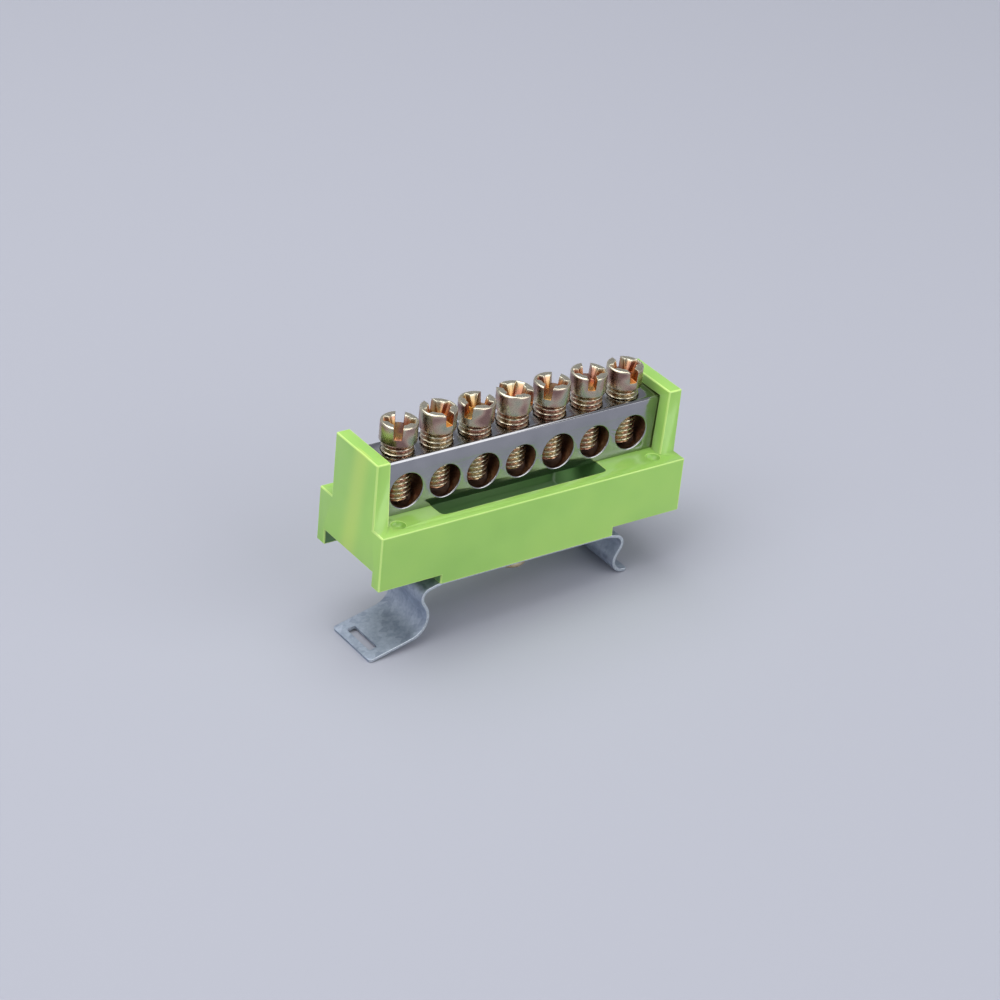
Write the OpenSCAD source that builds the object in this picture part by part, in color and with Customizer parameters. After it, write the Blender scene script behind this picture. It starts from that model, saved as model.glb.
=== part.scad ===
// Seven-way earth terminal bar on a moulded base, with a spring clip for a 35 mm top-hat rail.
// Origin: centre of the clip, on the flat underside of its web, which faces the rail.
// X runs along the bar, -Y is the front, where the wires enter, and +Z is up, away from the rail.

/* [Rail clip] */
// Width of the rail between the edges that the clip grips
rail_w = 35; // [32:0.5:38]
// Thickness of the spring strip
clip_t = 0.5; // [0.45:0.05:0.7]
// Width of the spring strip
clip_w = 10.4; // [8:0.2:12]
// Free space between the rail's edge and the clip beside it
rail_play = 0.6; // [0.3:0.05:0.8]
// How far each fold reaches under the rail's edge
grip_bite = 0.6; // [0.3:0.05:0.8]
// Slope of the shoulders at the ends of the web, where the rail bears
shoulder_lean = 15; // [8:1:20]
// Radius of the bend into each shoulder, at the middle of the strip
shoulder_r = 6; // [4:0.5:8]
// Length of the straight part of each shoulder
shoulder_l = 1.3; // [1:0.1:1.6]
// Radius of the bend into each leg, at the middle of the strip
bend_r = 1.5; // [1.2:0.1:1.8]
// Lean of each leg inwards, towards its fold
leg_lean = 30; // [26:1:34]
// Radius of the fold at the long leg, at the middle of the strip
long_fold_r = 3.4; // [2:0.1:4]
// Radius of the fold at the short leg, at the middle of the strip
short_fold_r = 2; // [1.5:0.1:3]
// Slope of the release tongue below the level of the web
tongue_slope = 13.8; // [8:0.2:20]
// Length of the straight part of the release tongue
tongue_l = 7.5; // [6:0.1:9]
// Slope of the short foot
foot_slope = 8; // [4:1:15]
// Length of the straight part of the short foot
foot_l = 1; // [0.8:0.1:2]
// Length of the screwdriver slot across the release tongue
slot_l = 6.4; // [5:0.1:7]
// Width of the screwdriver slot
slot_w = 1.4; // [1:0.1:2]
// Distance from the tongue's end to the middle of the slot
slot_set = 2.0; // [1.8:0.1:3]
// Rounding of the slot's corners
slot_r = 0.35; // [0.1:0.05:0.5]
// Rounding of the tongue's and the foot's free corners
tip_r = 0.5; // [0.3:0.1:0.8]

/* [Rivet] */
// Diameter of the rivet's shank
rivet_d = 3; // [2.5:0.1:3.5]
// Diameter of the formed head under the clip
rivet_head_d = 5.4; // [4.5:0.1:5.8]
// Height of the formed head below the web
rivet_head_h = 3; // [1:0.1:3.5]
// Rounding of the formed head's lower edge
rivet_head_r = 0.9; // [0.3:0.1:1]
// Diameter of the flat head inside the base
rivet_cap_d = 6; // [5:0.1:7]
// Thickness of the flat head inside the base
rivet_cap_t = 0.9; // [0.6:0.1:1.5]
// Diameter of the coined seat that the formed head sits in
coin_d = 6.4; // [6:0.1:7]
// Depth of the coined seat
coin_depth = 0.15; // [0.1:0.05:0.2]
// Gap all round between the rivet's shank and its holes
rivet_clear = 0.05; // [0.02:0.01:0.1]

/* [Base] */
// Length of the base
base_l = 55; // [54:0.5:70]
// Depth of the base from front to back
base_d = 17.3; // [16:0.1:22]
// Height of the front and back walls, from their lower edge to the ledge
body_h = 9.15; // [8:0.05:12]
// Place of the base's middle along the bar, from the middle of the clip
base_shift = 0.7; // [0:0.1:1]
// Distance from the front face back to the clip's front edge
clip_set = 0.5; // [0.3:0.1:3]
// Thickness of the front and back walls
side_wall = 2.1; // [1.8:0.1:2.6]
// Thickness of the end walls
end_wall = 2; // [1.6:0.1:2.4]
// How far the front and back walls hang below the end walls
skirt_drop = 2.45; // [1:0.05:3]
// Thickness of the deck over the end pockets
deck_t = 2.2; // [1.8:0.1:3]
// Length of the clip pad
pad_l = 31.6; // [28:0.2:31.8]
// How far the clip pad stands below the front and back walls
pad_drop = 1.5; // [1:0.1:2.5]
// Thickness of the pad, which is the floor of the trough
pad_t = 2.2; // [1.8:0.1:3]
// Length of the trough under the bar
trough_l = 30.1; // [26:0.1:30.5]
// Radius of the trough's upright corners
trough_r = 0.8; // [0.3:0.1:1.5]
// Thickness of the cross walls at the ends of the trough
cross_wall = 1.8; // [1.5:0.1:2.2]
// Diameter of the round marks in the front ledge
mark_d = 2.3; // [2:0.1:2.6]
// Depth of the round marks
mark_depth = 0.6; // [0.3:0.1:0.8]
// Distance of each mark from the inner face of its post
mark_set = 1.5; // [1.4:0.1:3]
// Distance of the marks' middle from the front face
mark_in = 2.5; // [1.4:0.1:2.6]

/* [Posts] */
// Height of the two end posts above the ledge
post_h = 10.75; // [10:0.05:14]
// Depth of a post from front to back
post_d = 11.3; // [9:0.1:12]
// Thickness of a post at the ledge
post_root = 2.8; // [2.4:0.1:3.4]
// Thickness of a post at its top
post_tip = 2.35; // [2:0.05:2.8]
// Distance from the front face to the posts' front
post_in = 2.7; // [2.2:0.1:3.5]

/* [Bar] */
// Depth of the metal bar from front to back
bar_w = 6.5; // [6.2:0.1:8]
// Height of the metal bar
bar_h = 9; // [8.6:0.1:9.8]
// How far each end of the bar sits in the pocket of its post
bar_seat = 0.7; // [0.5:0.1:1]
// Gap between the bar and the walls of its pockets
bar_clear = 0.05; // [0.03:0.01:0.1]
// Distance between neighbouring wire holes
hole_pitch = 6.8; // [6.6:0.05:7]
// Diameter of the first, third, fifth and seventh wire holes
wide_hole_d = 5.7; // [5.3:0.1:5.8]
// Diameter of the second, fourth and sixth wire holes
slim_hole_d = 5.3; // [5.2:0.1:5.6]
// Height of the wire holes' middle above the bar's underside
hole_up = 3.7; // [3.5:0.05:4]
// Countersink at each end of a wire hole
hole_rim = 0.12; // [0.05:0.01:0.3]
// Metal left under each screw bore
bore_floor = 0.6; // [0.5:0.05:1]
// Break of the bar's long upper edges
bar_edge = 0.25; // [0.1:0.05:0.4]

/* [Screws] */
// Outer diameter of the screws' thread
screw_d = 5; // [4.5:0.1:5]
// Gap all round between a screw and its bore
screw_clear = 0.05; // [0.02:0.01:0.1]
// Length of the shank under the head
shank_l = 9.3; // [8.5:0.1:10]
// Height of the lowest screw's tip above the bar's underside
tip_up = 1.2; // [1.1:0.05:2.6]
// Bevel of the screw's tip
tip_bevel = 0.5; // [0.3:0.1:0.8]
// Diameter of the head
head_d = 5.7; // [5.4:0.1:6.2]
// Height of the head
head_h = 3.4; // [3:0.1:4]
// Bevel under the head
head_bevel = 0.35; // [0.1:0.05:0.4]
// Width of the slot across the head
drive_w = 1.3; // [1:0.1:1.6]
// Depth of the slot across the head
drive_depth = 1.9; // [1.4:0.1:2.4]
// Length of the second arm of the cross recess, inside the rim
cross_l = 4.8; // [3.6:0.1:5]
// Diameter of the recess's round middle at the head's top
bowl_d = 3.5; // [2.6:0.1:4]
// Diameter of the recess's round middle at its floor
bowl_floor_d = 2.2; // [1.6:0.1:2.6]

/* [Hidden] */
$fn = 96;

// How far each screw stands above the lowest, and the direction of its slot in degrees from X
screw_lift = [0, 0.55, 0.2, 0.45, 0.35, 0.4, 0.05];
screw_turn = [55, 94, 30, 126, 42, 66, 84];
ways = 7;
over = 1;          // how far a cutting shape runs past the faces that it cuts

// Clip, in the X-Z plane, measured at the middle of the strip. Each straight runs a little way into
// its bends, which are a hair fatter, so that the strip is one solid.
lap = 0.05;
bend_skin = 0.005;
shoulder_span = shoulder_r * sin(shoulder_lean) + shoulder_l * cos(shoulder_lean);
web_half = rail_w / 2 + rail_play + clip_t / 2 - bend_r * (1 - sin(shoulder_lean)) - shoulder_span;
function leg_l(fold_r) =
    (rail_play + grip_bite - (bend_r + fold_r) * (1 - cos(leg_lean))) / sin(leg_lean);

// A leg as its bends [radius, turn, down being positive] and its straights [0, length]
function leg_path(fold_r, end_slope, end_l) = [
    [shoulder_r, shoulder_lean],
    [0, shoulder_l],
    [bend_r, 90 + leg_lean - shoulder_lean],
    [0, leg_l(fold_r)],
    [fold_r, end_slope - 90 - leg_lean],
    [0, end_l],
];
short_leg = leg_path(short_fold_r, foot_slope, foot_l);
long_leg = leg_path(long_fold_r, tongue_slope, tongue_l);

// Base
front = -clip_w / 2 - clip_set;
back = front + base_d;
left = base_shift - base_l / 2;
right = base_shift + base_l / 2;
pad_z = clip_t + bend_skin;
skirt_z = pad_z + pad_drop;
end_z = skirt_z + skirt_drop;
ledge_z = skirt_z + body_h;
post_y = front + post_in;
pocket_x = trough_l / 2 + cross_wall;

// Bar and screws
bar_y = post_y + post_d / 2;
bar_l = base_l - 2 * post_root + 2 * bar_seat;
bar_top = ledge_z + bar_h;
hole_z = ledge_z + hole_up;
function way_x(i) = base_shift + (i - (ways + 1) / 2) * hole_pitch;
function hole_d(i) = i % 2 == 1 ? wide_hole_d : slim_hole_d;
function tip_z(i) = ledge_z + tip_up + screw_lift[i - 1];

// A box given by its low and high corners
module block(low, high) {
    translate(low)
        cube(high - low);
}

// Straight strip: X runs along the strip and Z is square to it
module flat(start, end) {
    translate([start, -clip_w / 2, -clip_t / 2])
        cube([end - start, clip_w, clip_t]);
}

// A bend from the current point, that turns the strip down (+) or up (-)
module bend(r, turn) {
    translate([0, 0, -sign(turn) * r])
        rotate([90, 0, 0])
            rotate(turn > 0 ? 90 - turn : -90)
                rotate_extrude(angle = abs(turn))
                    translate([r - clip_t / 2 - bend_skin, -clip_w / 2 - bend_skin])
                        square([clip_t + 2 * bend_skin, clip_w + 2 * bend_skin]);
}

// Follows a leg's path from the end of the web, drawing the strip if asked; children start at its end
module follow(path, draw, i = 0) {
    if (i == len(path)) {
        children();
    } else if (path[i][0] == 0) {
        length = path[i][1];
        if (draw)
            flat(-lap, i == len(path) - 1 ? length : length + lap);
        translate([length, 0, 0])
            follow(path, draw, i + 1)
                children();
    } else {
        r = path[i][0];
        turn = path[i][1];
        if (draw)
            bend(r, turn);
        translate([r * sin(abs(turn)), 0, -sign(turn) * r * (1 - cos(turn))])
            rotate([0, turn, 0])
                follow(path, draw, i + 1)
                    children();
    }
}

module leg(path) {
    translate([web_half, 0, clip_t / 2])
        follow(path, true);
}

module at_leg_end(path) {
    translate([web_half, 0, clip_t / 2])
        follow(path, false)
            children();
}

// What is cut off the two free corners of a strip's end
module corner_cuts() {
    for (side = [0, 1])
        mirror([0, side, 0])
            translate([-tip_r, clip_w / 2 - tip_r, -clip_t])
                difference() {
                    cube([tip_r + over, tip_r + over, 2 * clip_t]);
                    translate([0, 0, -over])
                        cylinder(r = tip_r, h = 2 * (clip_t + over));
                }
}

// The screwdriver slot across the release tongue, with round corners
module slot_cut() {
    straight_w = slot_w - 2 * slot_r;
    straight_l = slot_l - 2 * slot_r;
    translate([-slot_set, 0, -clip_t])
        linear_extrude(height = 2 * clip_t)
            union() {
                square([slot_w, straight_l], center = true);
                square([straight_w, slot_l], center = true);
                for (x = [-1, 1], y = [-1, 1])
                    translate([x * straight_w / 2, y * straight_l / 2])
                        circle(r = slot_r);
            }
}

module rail_clip() {
    color("#8f9ba6")
        difference() {
            union() {
                translate([0, 0, clip_t / 2])
                    flat(-web_half - lap, web_half + lap);
                leg(short_leg);
                mirror([1, 0, 0])
                    leg(long_leg);
            }
            translate([base_shift, 0, -over])
                cylinder(d = rivet_d + 2 * rivet_clear, h = clip_t + 2 * over);
            translate([base_shift, 0, -over])
                cylinder(d = coin_d, h = coin_depth + over);
            at_leg_end(short_leg)
                corner_cuts();
            mirror([1, 0, 0])
                at_leg_end(long_leg) {
                    slot_cut();
                    corner_cuts();
                }
        }
}

module clip_rivet() {
    cap_z = pad_z + pad_t;
    color("#c9a26e")
        translate([base_shift, 0, 0])
            rotate_extrude()
                union() {
                    square([rivet_d / 2, cap_z + rivet_cap_t]);
                    translate([0, cap_z])
                        square([rivet_cap_d / 2, rivet_cap_t]);
                    translate([0, -rivet_head_h + rivet_head_r])
                        square([rivet_head_d / 2, rivet_head_h - rivet_head_r + coin_depth]);
                    translate([0, -rivet_head_h])
                        square([rivet_head_d / 2 - rivet_head_r, rivet_head_r]);
                    intersection() {
                        translate([rivet_head_d / 2 - rivet_head_r, -rivet_head_h + rivet_head_r])
                            circle(r = rivet_head_r);
                        translate([0, -rivet_head_h])
                            square([rivet_head_d / 2, rivet_head_h]);
                    }
                }
}

// One end post with its inner face leaning outwards, drawn for the right end
module post() {
    translate([right, post_y + post_d, ledge_z])
        rotate([90, 0, 0])
            linear_extrude(height = post_d)
                polygon([
                    [0, -deck_t / 2], [0, post_h], [-post_tip, post_h],
                    [-post_root, 0], [-post_root, -deck_t / 2]
                ]);
}

module both_ends() {
    children();
    translate([2 * base_shift, 0, 0])
        mirror([1, 0, 0])
            children();
}

// The trough, open at the top, with round upright corners
module trough_cut() {
    low = [-trough_l / 2, front + side_wall, pad_z + pad_t];
    high = [trough_l / 2, back - side_wall, ledge_z + over];
    block(low + [trough_r, 0, 0], high - [trough_r, 0, 0]);
    block(low + [0, trough_r, 0], high - [0, trough_r, 0]);
    for (x = [low.x + trough_r, high.x - trough_r], y = [low.y + trough_r, high.y - trough_r])
        translate([x, y, low.z])
            cylinder(r = trough_r, h = high.z - low.z);
}

module base() {
    color("#98c068")
        difference() {
            union() {
                block([left, front, end_z], [right, back, ledge_z]);
                // front and back walls, down to the skirts
                block([left, front, skirt_z], [right, front + side_wall, end_z + over]);
                block([left, back - side_wall, skirt_z], [right, back, end_z + over]);
                // cross walls and the clip pad
                block([-pocket_x, front, skirt_z], [pocket_x, back, end_z + over]);
                block([-pad_l / 2, front, pad_z], [pad_l / 2, back, pad_z + pad_t]);
                both_ends()
                    post();
            }
            trough_cut();
            // end pockets, open at the bottom
            block([left + end_wall, front + side_wall, pad_z],
                [-pocket_x, back - side_wall, ledge_z - deck_t]);
            block([pocket_x, front + side_wall, pad_z],
                [right - end_wall, back - side_wall, ledge_z - deck_t]);
            // pockets in the posts for the ends of the bar
            block([base_shift - bar_l / 2 - bar_clear, bar_y - bar_w / 2 - bar_clear, ledge_z],
                  [base_shift + bar_l / 2 + bar_clear, bar_y + bar_w / 2 + bar_clear, bar_top + bar_clear]);
            both_ends()
                translate([right - post_root - mark_set, front + mark_in, ledge_z - mark_depth])
                    cylinder(d = mark_d, h = mark_depth + over);
            translate([base_shift, 0, pad_z - over])
                cylinder(d = rivet_d + 2 * rivet_clear, h = pad_t + 2 * over);
        }
}

// The bar's section across Y and Z, with its long upper edges broken
module bar_section() {
    polygon([[-bar_w / 2, 0], [bar_w / 2, 0], [bar_w / 2, bar_h - bar_edge], [bar_w / 2 - bar_edge, bar_h],
             [-bar_w / 2 + bar_edge, bar_h], [-bar_w / 2, bar_h - bar_edge]]);
}

module wire_hole(i) {
    r = hole_d(i) / 2;
    translate([way_x(i), bar_y, hole_z])
        rotate([90, 0, 0]) {
            translate([0, 0, -bar_w / 2 - over])
                cylinder(r = r, h = bar_w + 2 * over);
            for (side = [0, 1])
                mirror([0, 0, side])
                    translate([0, 0, bar_w / 2 - hole_rim])
                        cylinder(r1 = r, r2 = r + hole_rim + over, h = hole_rim + over);
        }
}

module terminal_bar() {
    color("#b9bdc0")
        difference() {
            translate([base_shift - bar_l / 2, bar_y, ledge_z])
                rotate([90, 0, 90])
                    linear_extrude(height = bar_l)
                        bar_section();
            for (i = [1:ways]) {
                wire_hole(i);
                translate([way_x(i), bar_y, ledge_z + bore_floor])
                    cylinder(d = screw_d + 2 * screw_clear, h = bar_h);
            }
        }
}

module screw(i) {
    head_z = shank_l + head_h;
    bowl_flare = (bowl_d - bowl_floor_d) / drive_depth;
    color("#b59a63")
        translate([way_x(i), bar_y, tip_z(i)])
            difference() {
                union() {
                    cylinder(d1 = screw_d - 2 * tip_bevel, d2 = screw_d, h = tip_bevel);
                    translate([0, 0, tip_bevel])
                        cylinder(d = screw_d, h = shank_l - tip_bevel);
                    translate([0, 0, shank_l])
                        cylinder(d1 = head_d - 2 * head_bevel, d2 = head_d, h = head_bevel);
                    translate([0, 0, shank_l + head_bevel])
                        cylinder(d = head_d, h = head_h - head_bevel);
                }
                rotate(screw_turn[i - 1])
                    translate([-head_d, -drive_w / 2, head_z - drive_depth])
                        cube([2 * head_d, drive_w, drive_depth + over]);
                rotate(screw_turn[i - 1])
                    translate([-drive_w / 2, -cross_l / 2, head_z - drive_depth])
                        cube([drive_w, cross_l, drive_depth + over]);
                translate([0, 0, head_z - drive_depth])
                    cylinder(d1 = bowl_floor_d, d2 = bowl_floor_d + bowl_flare * (drive_depth + over),
                             h = drive_depth + over);
            }
}

base();
terminal_bar();
screw(1);  // screw_1
screw(2);  // screw_2
screw(3);  // screw_3
screw(4);  // screw_4
screw(5);  // screw_5
screw(6);  // screw_6
screw(7);  // screw_7
rail_clip();
clip_rivet();
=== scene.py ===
# %% [markdown]
# # An earth terminal bar on a rail clip
#
# This lesson builds the looks of a small electrical part: a plated brass bar with seven clamping
# screws, held between the two posts of a green moulded base, with a spring clip riveted under it.
# The measured model comes first, as a fixed frame, and every surface below takes its place from it.

import math

import bmesh
import bpy
import numpy as np
from mathutils import Matrix, Vector


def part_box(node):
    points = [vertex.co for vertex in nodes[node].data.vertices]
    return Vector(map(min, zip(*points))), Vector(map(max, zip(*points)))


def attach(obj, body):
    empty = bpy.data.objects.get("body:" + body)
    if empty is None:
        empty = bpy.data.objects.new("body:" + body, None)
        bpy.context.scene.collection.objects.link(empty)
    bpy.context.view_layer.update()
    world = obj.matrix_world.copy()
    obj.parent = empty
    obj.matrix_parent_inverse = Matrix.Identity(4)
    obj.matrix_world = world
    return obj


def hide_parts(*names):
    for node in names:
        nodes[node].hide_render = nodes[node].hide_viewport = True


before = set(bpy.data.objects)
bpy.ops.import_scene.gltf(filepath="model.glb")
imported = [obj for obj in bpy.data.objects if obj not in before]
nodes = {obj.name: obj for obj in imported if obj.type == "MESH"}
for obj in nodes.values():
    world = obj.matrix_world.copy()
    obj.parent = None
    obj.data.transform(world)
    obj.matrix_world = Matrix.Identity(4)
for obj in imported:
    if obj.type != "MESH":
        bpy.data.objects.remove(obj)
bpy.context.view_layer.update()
print("nodes:", sorted(nodes))

# %% [markdown]
# ## Units and places
#
# Blender works in metres here, but a part this size is drawn in millimetres. One constant turns the
# drawing's numbers into metres, and the frame says where each piece is.

# %% Places taken from the frame
MM = 0.001
PART = "bar_and_base"  # the body that carries everything but the screws


def node_box(node):
    """The lowest and highest corner of a node as arrays, in metres."""
    low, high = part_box(node)
    return np.array(low), np.array(high)


base_low, base_high = node_box("base")
bar_low, bar_high = node_box("terminal_bar")
ledge_z = bar_low[2]
screw_names = sorted(n for n in nodes if n.startswith("screw_"))
print("ledge at", round(ledge_z / MM, 2), "mm;", len(screw_names), "screws")

# %% [markdown]
# ## Camera
#
# A long lens nearly half a metre away flattens the part, as a catalogue picture does. The camera is
# placed by the direction in which it looks, so its angles can be read straight from the code. The part
# stands on its clip, a little askew, and the camera is rolled by the same few degrees.

# %% Camera
AIM = Vector((-0.1, 2.6, 6.57)) * MM
DISTANCE = 462.6 * MM
AZIMUTH = math.radians(-37.16)
ELEVATION = math.radians(30.03)
ROLL = math.radians(5.79)
FOCAL, SENSOR = 110.1, 36  # the lens and the width of its picture, in millimetres, as lenses are named

looking = Vector(
    (
        -math.sin(AZIMUTH) * math.cos(ELEVATION),
        math.cos(AZIMUTH) * math.cos(ELEVATION),
        -math.sin(ELEVATION),
    )
)
level_right = Vector((math.cos(AZIMUTH), math.sin(AZIMUTH), 0))
level_up = level_right.cross(looking)
right = level_right * math.cos(ROLL) + level_up * math.sin(ROLL)
up = right.cross(looking)

lens = bpy.data.cameras.new("catalogue_lens")
lens.lens = FOCAL
lens.sensor_width = SENSOR
camera = bpy.data.objects.new("camera", lens)
turn = Matrix((right, up, -looking)).transposed().to_4x4()
camera.matrix_world = Matrix.Translation(AIM - DISTANCE * looking) @ turn
bpy.context.scene.collection.objects.link(camera)
bpy.context.scene.camera = camera
bpy.context.scene.view_settings.view_transform = "Standard"
print("camera at", [round(v / MM, 1) for v in camera.location], "mm")

# %% [markdown]
# ## Colours and nodes
#
# Paint charts and colour pickers give sRGB values, while the renderer adds up light in linear values.
# One function turns the first into the second. Another adds a node, with its settings and its links, so
# that a material reads as a short list of what feeds what.


# %% Helpers for materials
def linear(hex_colour):
    """An sRGB hex colour as linear RGBA: each channel is divided by 12.92 below 0.04045, and is
    ((c + 0.055) / 1.055) ** 2.4 above it."""
    c = np.array([int(hex_colour[i : i + 2], 16) for i in (1, 3, 5)]) / 255
    c = np.where(c <= 0.04045, c / 12.92, ((c + 0.055) / 1.055) ** 2.4)
    return (*map(float, c), 1.0)


def add(tree, kind, inputs=None, stops=(), **settings):
    """Adds a node of that kind. Each of inputs is a plain value or a socket to link from, and the stops are
    a colour ramp's (place, hex colour) pairs: the ramp's own two ends take the first and the last."""
    node = tree.nodes.new(kind)
    for key, value in settings.items():
        setattr(node, key, value)
    for key, value in (inputs or {}).items():
        if isinstance(value, bpy.types.NodeSocket):
            tree.links.new(value, node.inputs[key])
        else:
            node.inputs[key].default_value = value
    if stops:
        ends = node.color_ramp.elements
        ends[0].position, ends[0].color = stops[0][0], linear(stops[0][1])
        ends[1].position, ends[1].color = stops[-1][0], linear(stops[-1][1])
    for place, colour in stops[1:-1]:
        node.color_ramp.elements.new(place).color = linear(colour)
    return node


def new_material(name):
    """A new material whose tree is empty; returns both."""
    material = bpy.data.materials.new(name)
    material.use_nodes = True
    material.node_tree.nodes.clear()
    return material, material.node_tree


print("linear mid grey:", round(linear("#808080")[0], 4))

# %% [markdown]
# ## Floor and light
#
# The part lies on its clip: the end of the long release tongue and the end of the short foot touch the
# table, so the base is tipped by about four degrees. The measured model keeps the base level, so the
# floor is tipped instead. Its slope comes from the clip's own lowest points on each side.


# %% Floor through the clip's two ends
FLOOR_GAP = 0.02 * MM  # keeps the clip's ends out of the table
FLOOR_HALF = 1.2  # metres: the table's edge stays out of every close view


def node_points(node):
    """A node's vertices as an array, in metres."""
    mesh = nodes[node].data
    co = np.empty(3 * len(mesh.vertices))
    mesh.vertices.foreach_get("co", co)
    return co.reshape(-1, 3)


def tangent_slope(points):
    """Slope and height at X = 0 of the line that the points stand on, seen along Y: the line through
    one point on each side of X = 0 that has no point below it, found in a few passes."""
    tongue, foot = points[points[:, 0] < 0], points[points[:, 0] > 0]
    a, b = tongue[tongue[:, 2].argmin()], foot[foot[:, 2].argmin()]
    for _ in range(4):
        slope = (b[2] - a[2]) / (b[0] - a[0])
        a = tongue[(tongue[:, 2] - slope * tongue[:, 0]).argmin()]
        b = foot[(foot[:, 2] - slope * foot[:, 0]).argmin()]
    return slope, a[2] - slope * a[0]


floor_slope, floor_at_zero = tangent_slope(node_points("rail_clip"))
corners = np.array([(-1, -1), (1, -1), (1, 1), (-1, 1)]) * FLOOR_HALF
floor_points = [(x, y, floor_at_zero - FLOOR_GAP + floor_slope * x) for x, y in corners]
floor_mesh = bpy.data.meshes.new("table")
floor_mesh.from_pydata(floor_points, [], [(0, 1, 2, 3)])
table = bpy.data.objects.new("table", floor_mesh)
bpy.context.scene.collection.objects.link(table)

paper, tree = new_material("matt_paper_backdrop")
shader = add(tree, "ShaderNodeBsdfPrincipled", {"Base Color": linear("#a7a9b3"), "Roughness": 0.9})
add(tree, "ShaderNodeOutputMaterial", {"Surface": shader.outputs["BSDF"]})
floor_mesh.materials.append(paper)
print("table tipped by", round(math.degrees(math.atan(floor_slope)), 2), "degrees")

# %% [markdown]
# Soft studio light is a few large lamps close to the part. One hangs above it and a little behind, one
# stands in front to the right, and one at the left end. A pale world stands in for the white walls of the
# tent that polished metal mirrors.


# %% Lamps and world
def soft_lamp(name, azimuth, elevation, distance, size, watts):
    """A square lamp that faces the part; azimuth 0 is in front, 90 to the right, in degrees."""
    a, e = math.radians(azimuth), math.radians(elevation)
    place = Vector((math.sin(a) * math.cos(e), -math.cos(a) * math.cos(e), math.sin(e))) * distance
    lamp = bpy.data.lights.new(name, "AREA")
    lamp.size = size
    lamp.energy = watts
    holder = bpy.data.objects.new(name, lamp)
    holder.matrix_world = Matrix.Translation(place) @ place.to_track_quat("Z", "Y").to_matrix().to_4x4()
    bpy.context.scene.collection.objects.link(holder)


soft_lamp("overhead", -160, 72, 0.6, 0.6, 2.9)
soft_lamp("front", 22, 30, 0.8, 0.75, 3.6)
soft_lamp("side_left", -84, 44, 0.8, 0.7, 2.9)

world = bpy.data.worlds.new("white_tent")
bpy.context.scene.world = world
world.use_nodes = True
tree = world.node_tree
tree.nodes.clear()
view = add(tree, "ShaderNodeTexCoord").outputs["Generated"]
height = add(tree, "ShaderNodeSeparateXYZ", {"Vector": view}).outputs["Z"]
tones = [(0.0, "#cdcfd5"), (0.12, "#c4c6cc"), (0.45, "#8c8e96"), (1.0, "#9c9ea4")]
wall = add(tree, "ShaderNodeValToRGB", {"Fac": height}, tones).outputs["Color"]
tent = add(tree, "ShaderNodeBackground", {"Color": wall, "Strength": 1.0})
add(tree, "ShaderNodeOutputWorld", {"Surface": tent.outputs["Background"]})

# %% [markdown]
# ## Moulded base: glass-filled polyamide
#
# Terminal carriers are injection moulded from polyamide, in a light green for earth. The tool's polish
# leaves a gloss with a very fine ripple, the plastic lets a little light into it, and the pigment is never
# quite even. Where two streams of melt met, a weak yellowish line is left. Along the edges, light
# enters from two sides at once, so there the same plastic looks paler: that paleness is a painted
# highlight, in a second material. The hollows are painted darker, as painted shade, in a third material
# that also lets less light in.

# %% Weld line on the left end
WELD_LEAN = 0.13  # how far the weld line leans towards the back, for each step down
WELD_PLACE = 3.93 * MM  # its place along Y, at the level of the frame's origin
WELD_HALF = 3.4 * MM
WELD_STRENGTH = 0.6
END_DEPTH = 0.6 * MM  # the line is kept to the left end's own skin


def weld_line(tree, where):
    """How much of the weld line's colour shows: most where y + lean * z is the line's place, and none
    at half its width from there or away from the left end."""
    place = add(tree, "ShaderNodeSeparateXYZ", {"Vector": where}).outputs
    lean = {0: place["Z"], 1: WELD_LEAN, 2: place["Y"]}
    along = add(tree, "ShaderNodeMath", lean, operation="MULTIPLY_ADD")
    off = add(tree, "ShaderNodeMath", {0: along.outputs[0], 1: WELD_PLACE}, operation="SUBTRACT")
    off = add(tree, "ShaderNodeMath", {0: off.outputs[0]}, operation="ABSOLUTE")
    fade = {"Value": off.outputs[0], "From Max": WELD_HALF, "To Min": WELD_STRENGTH, "To Max": 0.0}
    line = add(tree, "ShaderNodeMapRange", fade, interpolation_type="SMOOTHERSTEP")
    left_end = {0: place["X"], 1: float(base_low[0]) + END_DEPTH}
    on_end = add(tree, "ShaderNodeMath", left_end, operation="LESS_THAN")
    both = {0: line.outputs[0], 1: on_end.outputs[0]}
    return add(tree, "ShaderNodeMath", both, operation="MULTIPLY").outputs[0]


print("weld line:", 2 * WELD_HALF / MM, "mm wide")

# %% [markdown]
# The three plastics differ only in their greens and in how much light goes into them, so one function
# makes them all: the moulded green, its painted highlight for the edges, and its painted shade for the
# hollows. Three trees written out could drift apart when one of them is changed.

# %% Material of the base
DRIFT = 11 * MM  # how far apart the pigment's paler and darker places are
RIPPLE = 1.4 * MM  # how far apart the waves of the mould's polish are
NOISE_SPAN = {"From Min": 0.3, "From Max": 0.7}  # nearly all of any noise lies between these


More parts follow.
